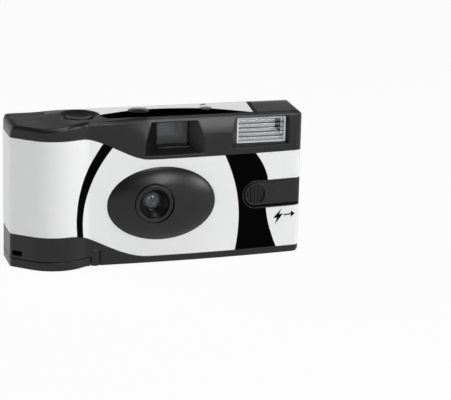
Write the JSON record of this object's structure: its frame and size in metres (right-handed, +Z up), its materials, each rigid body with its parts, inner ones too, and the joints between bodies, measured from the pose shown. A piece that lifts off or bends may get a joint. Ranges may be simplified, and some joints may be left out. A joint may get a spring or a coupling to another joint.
{
  "type": "disposable film camera",
  "caption": "Pocket single-use film camera with a rounded grip, oval lens surround, viewfinder, built-in flash with slide switch, thumb advance wheel and hinged film door.",
  "frame": {"origin": "middle of the base, on the surface the camera stands on", "axes": "+X runs along the width towards the flash end, +Y from the lens towards the back, +Z up"},
  "size_m": [0.1172, 0.0312, 0.0585],
  "materials": {
    "black_shell": "fine moulded texture",
    "inner_black": "plain moulded",
    "white_plastic": "plain moulded",
    "printed_label": "coated, printed",
    "clear_plastic": "polished",
    "lens_plastic": "polished",
    "amber_plastic": "polished",
    "steel": "bright drawn",
    "blackened_steel": "blackened",
    "cassette_steel": "lacquered tinplate",
    "film_base": "coated film",
    "foil": "bright pressed",
    "board": "phenolic laminate",
    "sleeve": "shrink sleeve",
    "cell_wrap": "shrink sleeve",
    "winding": "taped winding",
    "brass": "pressed strip"
  },
  "bodies": {
    "camera": {"front_cover": "black_shell", "rear_cover": "black_shell", "lens_ring": "black_shell", "chassis": "inner_black", "shutter_base": "inner_black", "front_label": "printed_label", "top_label": "printed_label", "door_pin": "steel", "lever_pin": "steel", "blade_spring": "steel", "battery_minus_contact": "steel", "battery_plus_contact": "steel", "taking_lens": "lens_plastic", "aperture_plate": "blackened_steel", "cassette_shell": "cassette_steel", "cassette_top_cap": "steel", "cassette_bottom_cap": "steel", "film_strip": "film_base", "counter_window": "clear_plastic", "lamp_window": "amber_plastic", "finder_front_lens": "clear_plastic", "finder_eyepiece": "clear_plastic", "flash_window": "clear_plastic", "flash_reflector": "foil", "flash_tube": "clear_plastic", "circuit_board": "board", "flash_capacitor": "sleeve", "transformer": "winding", "trigger_coil": "winding", "ready_neon": "clear_plastic", "switch_contact": "brass", "battery": "cell_wrap", "sync_contact": "brass"},
    "button": {"shutter_button": "black_shell"},
    "lever": {"release_lever": "white_plastic"},
    "wheel": {"advance_wheel": "black_shell"},
    "take_up": {"cassette_spool": "inner_black"},
    "sprocket_body": {"sprocket": "white_plastic"},
    "dial": {"counter_dial": "white_plastic"},
    "supply": {"supply_spool": "inner_black", "film_roll": "film_base"},
    "blade": {"shutter_blade": "steel"},
    "slider": {"flash_slider": "black_shell"},
    "door": {"film_door": "black_shell"}
  },
  "joints": [
    {"name": "button_press", "type": "slide", "parent": "camera", "child": "button", "axis": [0, 0, -1], "range_m": [0, 0.0012], "stiffness_N_per_m": 300, "springref_m": -0.001},
    {"name": "lever_rock", "type": "hinge", "parent": "camera", "child": "lever", "pos_m": [-0.0192, -0.00545, 0.049], "axis": [0, -1, 0], "range_deg": [0, 12.6]},
    {"name": "wheel_turn", "type": "hinge", "parent": "camera", "child": "wheel", "pos_m": [-0.0405, 0.00105, 0.0507], "axis": [0, 0, 1], "continuous": true},
    {"name": "take_up_turn", "type": "hinge", "parent": "camera", "child": "take_up", "pos_m": [-0.0405, 0.00105, 0.025], "axis": [0, 0, 1], "continuous": true},
    {"name": "sprocket_turn", "type": "hinge", "parent": "camera", "child": "sprocket_body", "pos_m": [-0.0179, 0.0022, 0.0391], "axis": [0, 0, 1], "continuous": true},
    {"name": "dial_turn", "type": "hinge", "parent": "camera", "child": "dial", "pos_m": [-0.0122, 0.00165, 0.0548], "axis": [0, 0, 1], "continuous": true},
    {"name": "supply_turn", "type": "hinge", "parent": "camera", "child": "supply", "pos_m": [0.0288, 0.00135, 0.025], "axis": [0, 0, 1], "continuous": true},
    {"name": "blade_swing", "type": "hinge", "parent": "camera", "child": "blade", "pos_m": [0.0054, -0.0063, 0.0315], "axis": [0, -1, 0], "range_deg": [0, 28], "stiffness_Nm_per_rad": 0.002, "springref_deg": -11.46},
    {"name": "slider_slide", "type": "slide", "parent": "camera", "child": "slider", "axis": [1, 0, 0], "range_m": [0, 0.004]},
    {"name": "door_swing", "type": "hinge", "parent": "camera", "child": "door", "pos_m": [-0.0264, 0.0015, 0.0008], "axis": [0, -1, 0], "range_deg": [0, 95]}
  ],
  "couplings": [
    {"joint": "lever_rock", "follows": "button_press", "rad_per_m": 183.2},
    {"joint": "take_up_turn", "follows": "wheel_turn", "ratio": 1},
    {"joint": "sprocket_turn", "follows": "wheel_turn", "ratio": 1.25},
    {"joint": "dial_turn", "follows": "wheel_turn", "ratio": -0.0417},
    {"joint": "supply_turn", "follows": "wheel_turn", "ratio": 0.911}
  ]
}
